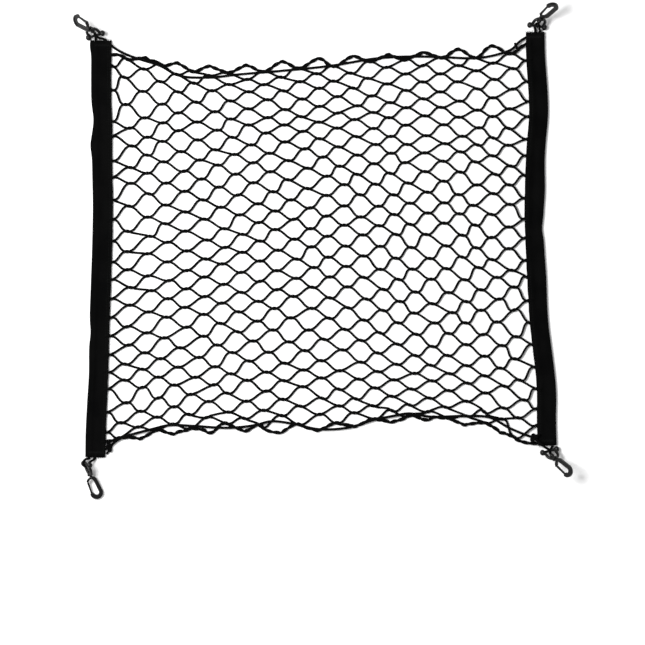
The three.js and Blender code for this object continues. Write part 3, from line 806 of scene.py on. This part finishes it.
def make_frays(side, fray_random):
    width = SLEEVE_WIDTHS[side]
    line, ways, inward = sleeve_frame(side, 1.0)
    basket = Basket()
    for end, outward in ((0, -1), (len(line) - 1, 1)):
        for _ in range(26 if (side, end) == (-1, 0) else 15):
            across_place = fray_random.uniform(2.5, width - 0.5)
            upper = fray_random.random() < 0.7
            root = on_top(side, line[end], inward[end], across_place, -0.5)
            if not upper:
                root[2] = 0.7
            length = fray_random.uniform(1.4, 4.2)
            swing = fray_random.gauss(0, 0.55)
            way = ways[end] * outward + inward[end] * swing
            shares = np.linspace(-0.4, 1, 6)
            hair = root + np.outer(shares, way) * length
            hair[:, 2] = np.maximum(0.25, root[2] - fray_random.uniform(0.1, 0.9) * np.maximum(shares, 0) ** 2 * 2)
            basket.add(*tube(hair, 0.2, 5, cap=0))
    lip_random = fray_random
    for _ in range(18):
        index = lip_random.randrange(4, len(line) - 4)
        if lip_random.random() < 0.5:
            index = lip_random.choice((lip_random.randrange(6, 26), len(line) - lip_random.randrange(6, 26)))
        root = on_top(side, line[index], inward[index], width - 0.4, -0.6)
        way = inward[index] + ways[index] * lip_random.gauss(0, 0.8)
        shares = np.linspace(-0.3, 1, 5)
        hair = root + np.outer(shares, way) * lip_random.uniform(0.8, 2.4)
        hair[:, 2] = np.maximum(0.25, root[2] - 0.8 * np.maximum(shares, 0) ** 2)
        basket.add(*tube(hair, 0.18, 5, cap=0))
    return basket.make(SLEEVE_NAMES[side] + "_loose_threads", NET_BODY, "woven_tape", thread_finish)


sleeve_pieces = {}
for side in (-1, 1):
    tape, tape_length = make_sleeve(side)
    seams = make_seams(side, random.Random(7 + side))
    frays = make_frays(side, random.Random(23 + side))
    sleeve_pieces[side] = tape

# %% [markdown]
# ## The edge cord
# One long elastic cord runs round the net: through both sleeves, through the ring at every corner and
# across the top, and a second one closes the bottom between two knots. Each is laced loosely on top of
# the selvedge. Its way round a ring's bar is a part of a turn, worked out from how that ring lies.

# %% How the corner fittings lie
CORNERS = {
    "top_left": dict(bar=(-350, 331.5, 9.8), heading=41, pitch=44, roll=-34,
                     lean=7, lift=8, swivel=-95),
    "top_right": dict(bar=(329.3, 345.8, 9.4), heading=-30, pitch=42, roll=31,
                      lean=-7.5, lift=6, swivel=0),
    "bottom_right": dict(bar=(348.5, -307.5, 9.8), heading=-146, pitch=36, roll=-32,
                         lean=11, lift=0, swivel=-105),
    "bottom_left": dict(bar=(-363.2, -328, 16.2), heading=-161.5, pitch=-13, roll=70,
                        lean=0, lift=0, swivel=110),
}


def turn_matrix(heading, pitch, roll):
    """Roll about the fitting's own length first, then pitch, then heading."""
    turns = ((heading, "Z"), (pitch, "X"), (roll, "Y"))
    matrix = Matrix.Identity(4)
    for angle, axis in turns:
        matrix = matrix @ Matrix.Rotation(math.radians(angle), 4, axis)
    return matrix


def ring_matrix(corner):
    lie = CORNERS[corner]
    return Matrix.Translation(lie["bar"]) @ turn_matrix(lie["heading"], lie["pitch"], lie["roll"])


CORD_RADIUS = 1.8
BAR_RADIUS = 2.1
WRAP_RADIUS = BAR_RADIUS + 0.45 + CORD_RADIUS
IN_SLEEVE = SLEEVE_HEIGHT / 2


def wrap(corner, start, end, degrees):
    """A part turn round the bar of a ring. start and end are places along the bar."""
    lie = CORNERS[corner]
    turned = turn_matrix(lie["heading"], lie["pitch"], lie["roll"])
    along = np.array(turned @ Vector((1, 0, 0)))
    forward = np.array(turned @ Vector((0, 1, 0)))
    if abs(lie["roll"]) < 60:
        forward = np.cross((0, 0, 1.0), along)
        forward /= np.linalg.norm(forward)
    across = np.cross(forward, along)
    points = []
    for share in np.linspace(0, 1, round(degrees / 30) + 1):
        angle = math.radians(degrees * share)
        swing = across * math.cos(angle) + forward * math.sin(angle)
        points.append(np.array(lie["bar"]) + along * (start + (end - start) * share) + WRAP_RADIUS * swing)
    return points


def routed(places):
    """Places with no height lie on top of the net."""
    points = []
    for place_given in places:
        x, y = place_given[:2]
        on_net = net_base(x, y) + NET_THICKNESS + 0.55 + CORD_RADIUS
        points.append(np.array([x, y, place_given[2] if len(place_given) > 2 else on_net]))
    return points


def in_sleeve(side):
    return [np.array([x + CORD_FROM_MIDDLE[side], y, IN_SLEEVE]) for x, y in SLEEVE_LINES[side][1:-1]]


# %% Routes
KNOT_LEFT = (-328.6, -302, 4.6)
KNOT_RIGHT = (324.3, -287, 9.2)
TOP_ROUTE = [
    (-343.5, 327.6, 12), (-337, 325.5, 11.2), (-330, 320, 10.8), (-323, 313.8, 8.8),
    (-315.5, 308.8, 6.9), (-304, 303),
    (-288, 297), (-251, 285), (-222, 270), (-177, 267), (-128, 272), (-68, 277), (11, 285), (78, 296),
    (120, 299), (169, 299), (236, 297), (270, 303), (291, 311), (302, 322, 6.2), (312, 328.5, IN_SLEEVE),
    (320, 331, IN_SLEEVE)]
BOTTOM_ROUTE = [
    KNOT_RIGHT, (312, -283, 7.6), (286, -272), (256, -256), (216, -254), (166, -255), (132, -250),
    (112, -253), (78, -260), (37, -272), (-8, -274), (-45, -266), (-80, -262), (-105, -268), (-146, -272),
    (-202, -269), (-237, -268), (-263, -274), (-300, -284), (-318, -292, 6), KNOT_LEFT]
KNOT_TO_RING = [
    KNOT_LEFT, (-337, -306, IN_SLEEVE), (-345, -311, IN_SLEEVE), (-350, -315, IN_SLEEVE),
    (-351, -319, 3.8), (-353.5, -321.4, 6.6), (-357.5, -324, 11.5)]
RING_TO_SLEEVE = [(-367.8, -322.8, 12.2), (-363.6, -319.7, 7.6), (-360.8, -319.4, 4.3), (-359.3, -315, IN_SLEEVE)]
long_route = [
    *routed(KNOT_TO_RING), *wrap("bottom_left", 2, 1.4, 210), *routed(RING_TO_SLEEVE),
    *in_sleeve(-1)[::-1], *routed([(-349.5, 318, IN_SLEEVE), (-350, 325, IN_SLEEVE - 0.3)]),
    *wrap("top_left", -2, 2.2, 210), *routed(TOP_ROUTE),
    *routed([(326, 335.5, IN_SLEEVE), (326.8, 340, IN_SLEEVE + 0.6)]), *wrap("top_right", -2, 3.4, 240),
    *routed([(333.9, 340.2, 4.7), (334.3, 336.5, IN_SLEEVE), (334.7, 328, IN_SLEEVE)]), *in_sleeve(1),
    *routed([(353, -293, IN_SLEEVE), (352.6, -301, IN_SLEEVE - 0.4)]), *wrap("bottom_right", -2.4, 2.4, 210),
    *routed([(341, -301.6, 12.4), (333, -295, 10.4)]), np.array(KNOT_RIGHT)]


def make_cord(name, route):
    line = smooth_route(route, 2.4)
    swell = [1.08 + 0.03 * noise.noise(Vector((k * 0.21, len(route), 0))) for k in range(len(line))]
    basket = Basket()
    basket.add(*tube(line, CORD_RADIUS * np.array(swell), 14, cap=0))
    piece = basket.make(name + "_braided", NET_BODY, "elastic_cord", cord_finish, [name])
    print(f"{name}: {distances(line)[-1]:.0f} mm of cord")
    return piece


cord_pieces = [make_cord("edge_cord_long", long_route), make_cord("edge_cord_bottom", routed(BOTTOM_ROUTE))]

# %% [markdown]
# ### The knots
# The two cords are tied to each other with a small tight knot at each end of the bottom edge. A trefoil,
# the closed form of the overhand knot, has the right three lobes and crossings. It is squashed to
# the knot's size, and the two cut ends stand out of it.

# %% Knots
def make_knot(name, centre, size, turn, cord_radius, tails):
    centre = np.array(centre)
    angles = np.linspace(0, 2 * math.pi, 97)[:-1]
    loops = np.stack([np.sin(angles) + 2 * np.sin(2 * angles), np.cos(angles) - 2 * np.cos(2 * angles),
                      -1.7 * np.sin(3 * angles)], axis=1)
    reach = (np.array(size) - cord_radius) / np.array([2.9, 2.9, 1.7])
    cos, sin = math.cos(math.radians(turn)), math.sin(math.radians(turn))
    loops = loops * reach
    loops = np.stack([loops[:, 0] * cos - loops[:, 1] * sin, loops[:, 0] * sin + loops[:, 1] * cos,
                      loops[:, 2]], axis=1) + centre
    line = np.concatenate([loops[-2:], loops, loops[:2]])
    basket = Basket()
    basket.add(*tube(line, cord_radius, 14, cap=0))
    for tail in tails:
        way = smooth_route([centre] + [centre + np.array(step) for step in tail], 1.0)
        basket.add(*tube(way, CORD_RADIUS * 0.95, 14, cap=1.0))
    return basket.make(name + "_tied", NET_BODY, "elastic_cord", cord_finish, [name])


knot_pieces = [
    make_knot("knot_left", KNOT_LEFT, (5.0, 7.8, 4.2), 8, 2.35,
              [[(-1.4, -5.0, -0.8), (-4.2, -10.2, -1.6)], [(-1.0, 6.0, 0.4), (-2.2, 10.5, 0.2)]]),
    make_knot("knot_right", KNOT_RIGHT, (6.1, 7.4, 4.3), -35, 2.3,
              [[(4.0, 3.0, 0.6), (8.4, 4.6, 1.2)], [(4.6, -3.5, 0.4), (8.6, -8.4, 0.8)]]),
]

# %% [markdown]
# ## The corner fittings
# Each corner has three moulded parts: a base ring with a straight bar for the cord and a round eye at its
# crown, a snap hook whose stem turns in that eye, and a thin sprung gate. A mould leaves soft, filleted
# edges everywhere. Bevelling such edges by hand on joined shapes is slow, so the parts are roughed out of
# overlapping closed solids, melted into one skin with a voxel remesh, and smoothed.

# %% Roughing-out tools
def lathe(profile, sides, axis="Y"):
    """Turns (radius, height) pairs about an axis. The profile is open and meets the axis at both ends."""
    angles = np.arange(sides) * 2 * math.pi / sides
    rings = [np.stack([r * np.cos(angles), np.full(sides, h), r * np.sin(angles)], axis=1) for r, h in profile]
    rings = np.array(rings)
    if axis == "X":
        rings = rings[:, :, [1, 0, 2]]
    if axis == "Z":
        rings = rings[:, :, [0, 2, 1]]
    return skin(rings, np.arange(len(profile)), 1.0)[:2]


def ball_profile(radius, flat=1.0, steps=14):
    return [(max(0.02, radius * math.sin(a)), -radius * flat * math.cos(a)) for a in
            np.linspace(0.02, math.pi - 0.02, steps)]


def collar(inner, outer, half, sides, middle):
    """A closed ring of rectangular section about Y, for the eye that the stem turns in."""
    loop = [(inner, -half), (outer - 0.5, -half), (outer, -half + 0.5), (outer, half - 0.5),
            (outer - 0.5, half), (inner, half)]
    angles = np.arange(sides) * 2 * math.pi / sides
    points = np.array([[(r * math.cos(a), h + middle, r * math.sin(a)) for r, h in loop] for a in angles])
    count = len(loop)
    faces = [[i * count + j, i * count + (j + 1) % count, ((i + 1) % sides) * count + (j + 1) % count,
              ((i + 1) % sides) * count + j] for i in range(sides) for j in range(count)]
    return points.reshape(-1, 3), faces


def prism(outline, half):
    """A flat outline with thickness, before its edges are rounded."""
    outline = np.asarray(outline, float)
    count = len(outline)
    points = np.concatenate([np.c_[outline, np.full(count, -half)], np.c_[outline, np.full(count, half)]])
    faces = [list(range(count))[::-1], [count + k for k in range(count)]]
    faces += [[k, (k + 1) % count, count + (k + 1) % count, count + k] for k in range(count)]
    return points, faces


def mould(name, solids, voxel, smoothing, keep_faces=None):
    """Melts overlapping solids, in millimetres, into one skin with filleted edges."""
    points, faces, count = [], [], 0
    for solid_points, solid_faces in solids:
        points.append(np.asarray(solid_points))
        faces += [[index + count for index in face] for face in solid_faces]
        count += len(solid_points)
    rough = bpy.data.meshes.new(name + "_rough")
    rough.from_pydata(np.concatenate(points).tolist(), [], faces)
    holder = bpy.data.objects.new(name + "_rough", rough)
    bpy.context.scene.collection.objects.link(holder)
    melt = holder.modifiers.new("melt", "REMESH")
    melt.mode = "VOXEL"
    melt.voxel_size = voxel
    melt.use_smooth_shade = True
    soften = holder.modifiers.new("soften", "SMOOTH")
    soften.factor = 0.5
    soften.iterations = smoothing
    if keep_faces:
        thin = holder.modifiers.new("thin", "DECIMATE")
        thin.ratio = keep_faces
    bpy.context.view_layer.update()
    shown = holder.evaluated_get(bpy.context.evaluated_depsgraph_get())
    mesh = bpy.data.meshes.new_from_object(shown)
    mesh.name = name
    mesh.transform(Matrix.Scale(MM, 4))
    mesh.polygons.foreach_set("use_smooth", [True] * len(mesh.polygons))
    bpy.data.objects.remove(holder)
    bpy.data.meshes.remove(rough)
    print(f"{name}: {len(mesh.polygons)} faces in one skin")
    return mesh


# %% [markdown]
# ### Base ring
# The bar ends in two round ears that stop the cord from sliding off. The arch is a half circle on two
# short legs, and the eye at its crown is a collar with a real hole, so that the hook's stem can be seen
# passing through.

# %% Base ring
BAR_HALF = 12.5
EAR_RADIUS = 4.3
LEG_X = 9.3
ARCH_CENTRE_Y = 7.7
CROWN_Y = ARCH_CENTRE_Y + LEG_X
EYE_OUTER, EYE_INNER, EYE_HALF = 4.6, 3.05, 1.7


def ring_solids():
    solids = [lathe([(0.02, -BAR_HALF), (BAR_RADIUS, -BAR_HALF), (BAR_RADIUS, BAR_HALF), (0.02, BAR_HALF)], 28, "X")]
    for end in (-1, 1):
        ear = [(radius, height + end * BAR_HALF) for radius, height in ball_profile(EAR_RADIUS + 0.4, 0.86)]
        solids.append(lathe(ear, 32, "X"))
        bend = math.acos(3.5 / LEG_X)
        angles = np.linspace(0, bend, 22)
        leg = [(LEG_X, -0.5, 0), (LEG_X, ARCH_CENTRE_Y * 0.5, 0)]
        leg += [(LEG_X * math.cos(a), ARCH_CENTRE_Y + LEG_X * math.sin(a), 0) for a in angles]
        solids.append(tube([(end * x, y, z) for x, y, z in leg], BAR_RADIUS + 0.3, 20, cap=0)[:2])
    solids.append(collar(EYE_INNER, EYE_OUTER, EYE_HALF, 40, CROWN_Y))
    return solids


ring_mesh = mould("ring", ring_solids(), 0.34, 5)

# %% [markdown]
# ### Snap hook
# The body is flat, rounds into a full bend and ends in a nose that the gate shuts against. Its
# outline is drawn in the hook's own frame, with Y from the ball to the tip. The stem runs down through the
# ring's eye to a ball that holds it there and lets it swivel.

# %% Snap hook
BALL_RADIUS = 3.6
BALL_Y = 10.2
STEM_RADIUS = 2.15
SHOULDER_Y = 11.2
HOOK_TIP_Y = 47.0
BEND_RADIUS = 10.2
EYE_RADIUS = 3.8
BEND_Y = HOOK_TIP_Y - BEND_RADIUS
GATE_PIVOT = (-7.4, 18.6)
GATE_LENGTH = 16.4
HOOK_HALF = 2.2


def bow(start, control, end, steps=8):
    shares = np.linspace(0, 1, steps + 1)[1:, None]
    start, control, end = (np.array(p, float) for p in (start, control, end))
    return ((1 - shares) ** 2 * start + 2 * shares * (1 - shares) * control + shares**2 * end).tolist()


def arc(centre, radius, first, last, steps):
    angles = np.radians(np.linspace(first, last, steps))
    return [[centre[0] + radius * math.cos(a), centre[1] + radius * math.sin(a)] for a in angles]


def hook_outline():
    nose_y = GATE_PIVOT[1] + GATE_LENGTH
    root_y = GATE_PIVOT[1] - 1.8
    line = [[-3.0, SHOULDER_Y], [3.0, SHOULDER_Y]]
    line += bow(line[-1], (6.8, SHOULDER_Y + 1), (7.7, SHOULDER_Y + 6))
    line += arc((0, BEND_Y), BEND_RADIUS, -6, 174, 40)
    line += [[-BEND_RADIUS + 0.6, nose_y + 1], [-BEND_RADIUS + 1.5, nose_y + 0.3], [-EYE_RADIUS - 1.2, nose_y + 0.3]]
    line += arc((0.3, BEND_Y), EYE_RADIUS, 174, -6, 28)
    line += [[2.0, SHOULDER_Y + 8]]
    line += bow(line[-1], (1.2, SHOULDER_Y + 2.8), (-1.4, SHOULDER_Y + 2.8))
    line += bow(line[-1], (-4.0, SHOULDER_Y + 2.8), (-5.2, root_y))
    line += [[-9.4, root_y]]
    line += bow(line[-1], (-8.4, SHOULDER_Y + 1.5), (-3.0, SHOULDER_Y))[:-1]
    return line


def hook_solids():
    outline = np.array(hook_outline())
    stem = [(0.02, 0), (STEM_RADIUS, 0.1), (STEM_RADIUS, SHOULDER_Y + 2.4), (0.02, SHOULDER_Y + 2.5)]
    neck = [(0.02, SHOULDER_Y - 0.2), (3.1, SHOULDER_Y - 0.1), (3.4, SHOULDER_Y + 1.5), (0.02, SHOULDER_Y + 3)]
    return [prism(outline, HOOK_HALF), lathe(stem, 24), lathe(ball_profile(BALL_RADIUS), 32), lathe(neck, 28)]


hook_mesh = mould("hook", hook_solids(), 0.36, 7)

# %% [markdown]
# ### Gate
# The gate is a thin tongue on a round knuckle, which turns on a pin across the hook's root. Its free end
# bears on the nose from inside, and swings into the eye.

# %% Gate
def gate_solids():
    knuckle = [(0.02, -1.6), (1.5, -1.6), (1.5, 1.6), (0.02, 1.6)]
    pin = [(0.02, -1.8), (0.75, -1.8), (0.75, 1.8), (0.02, 1.8)]
    tongue = [(-1.6, 0), (1.6, 0), (1.4, GATE_LENGTH - 0.6), (0.8, GATE_LENGTH), (-0.8, GATE_LENGTH),
              (-1.3, GATE_LENGTH - 0.6)]
    return [lathe(knuckle, 24, "Z"), lathe(pin, 16, "Z"), prism(tongue, 1.3)]


gate_mesh = mould("gate", gate_solids(), 0.22, 3)


# %% [markdown]
# ### Putting the fittings together
# A fitting's parts share one frame. The ring rides the net's body, and the hook and the gate each ride
# a body of their own, so that the hook can swivel and the gate can open. The mesh is turned into place, because
# a piece must stand at rest where its solid does, and the difference between the two boxes is printed as proof.

# %% Fittings
def hook_matrix(corner):
    """The hook's frame has its origin at the ball, and its axis goes through the eye of the ring."""
    lie = CORNERS[corner]
    turned = turn_matrix(lie["lean"], lie["lift"], lie["swivel"])
    axis = turned @ Vector((0, 1, 0))
    ball = Vector((0, CROWN_Y, 0)) - axis * ((CROWN_Y - BALL_Y) / axis.y)
    return ring_matrix(corner) @ Matrix.Translation(ball) @ turned


def fit(kind, mesh, matrix, corner, body):
    moved = mesh.copy()
    metres = Matrix.Translation(matrix.translation * MM) @ matrix.to_3x3().to_4x4()
    moved.transform(metres)
    node_name = f"{kind}_{corner}"
    piece = place(bpy.data.objects.new(node_name + "_moulded", moved), body, "moulded_plastic",
                  plastic_finish, [node_name])
    low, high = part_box(node_name)
    corners = np.array([point.co for point in moved.vertices])
    apart = max(np.abs(corners.min(0) - low).max(), np.abs(corners.max(0) - high).max())
    print(f"  its box is within {apart / MM:.2f} mm of the solid's")
    return piece


for corner in CORNERS:
    hook_place = hook_matrix(corner)
    gate_place = hook_place @ Matrix.Translation((GATE_PIVOT[0], GATE_PIVOT[1], 0))
    fit("ring", ring_mesh, ring_matrix(corner), corner, NET_BODY)
    fit("hook", hook_mesh, hook_place, corner, "hook_" + corner)
    fit("gate", gate_mesh, gate_place, corner, "gate_" + corner)

# %% [markdown]
# ## Floor and light
# The studio is a white sweep, lit so that the floor is almost burnt out and the black goods keep their
# detail. One large soft panel stands high on the upper left and gives each piece a faint shadow to the
# lower right. The rest comes evenly from the white room, which also fills the gloss of the plastic.

# %% Floor
def make_floor():
    half = 6.0
    mesh = bpy.data.meshes.new("floor")
    mesh.from_pydata([(-half, -half, 0), (half, -half, 0), (half, half, 0), (-half, half, 0)], [], [[0, 1, 2, 3]])
    floor = bpy.data.objects.new("floor", mesh)
    floor.location.z = -0.0003
    bpy.context.scene.collection.objects.link(floor)
    floor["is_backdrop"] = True
    material, wire, shader = start_finish("white_sweep", Roughness=0.9, Specular_IOR_Level=0.2)
    where = wire.node("ShaderNodeTexCoord").outputs["Object"]
    tone = wire.ramp(wire.noise(where, 1.5, 2.0), 0.3, 0.7, 0.93, 0.95)
    colour = wire.node("ShaderNodeCombineColor", Red=tone, Green=tone, Blue=tone)
    wire.feed(shader.inputs["Base Color"], colour.outputs["Color"])
    floor.data.materials.append(material)
    return floor


floor = make_floor()

# %% Light
def panel(name, place_m, aim, size, power):
    light = bpy.data.lights.new(name, "AREA")
    light.shape = "DISK"
    light.size = size
    light.energy = power
    lamp = bpy.data.objects.new(name, light)
    lamp.location = place_m
    lamp.rotation_euler = (Vector(aim) - Vector(place_m)).to_track_quat("-Z", "Y").to_euler()
    bpy.context.scene.collection.objects.link(lamp)
    return lamp


panel("key_panel", (-1.15, 0.35, 2.4), (0, 0, 0), 1.2, 88.0)
world = bpy.data.worlds.new("white_room")
world.use_nodes = True
world.node_tree.nodes["Background"].inputs["Color"].default_value = (1.0, 1.0, 1.0, 1.0)
world.node_tree.nodes["Background"].inputs["Strength"].default_value = 0.5
bpy.context.scene.world = world
bpy.context.scene.view_settings.view_transform = "Standard"

# %% [markdown]
# ## Sizes
# The boxes of the plain and the dressed part are printed side by side. The dressed part
# must keep the size of the plain one.

# %% Sizes and finish
dressed_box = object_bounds()
for name, (low, high) in (("plain", cad_box), ("dressed", dressed_box)):
    print(name, "box, mm:", [round(v / MM, 1) for v in low], [round(v / MM, 1) for v in high])
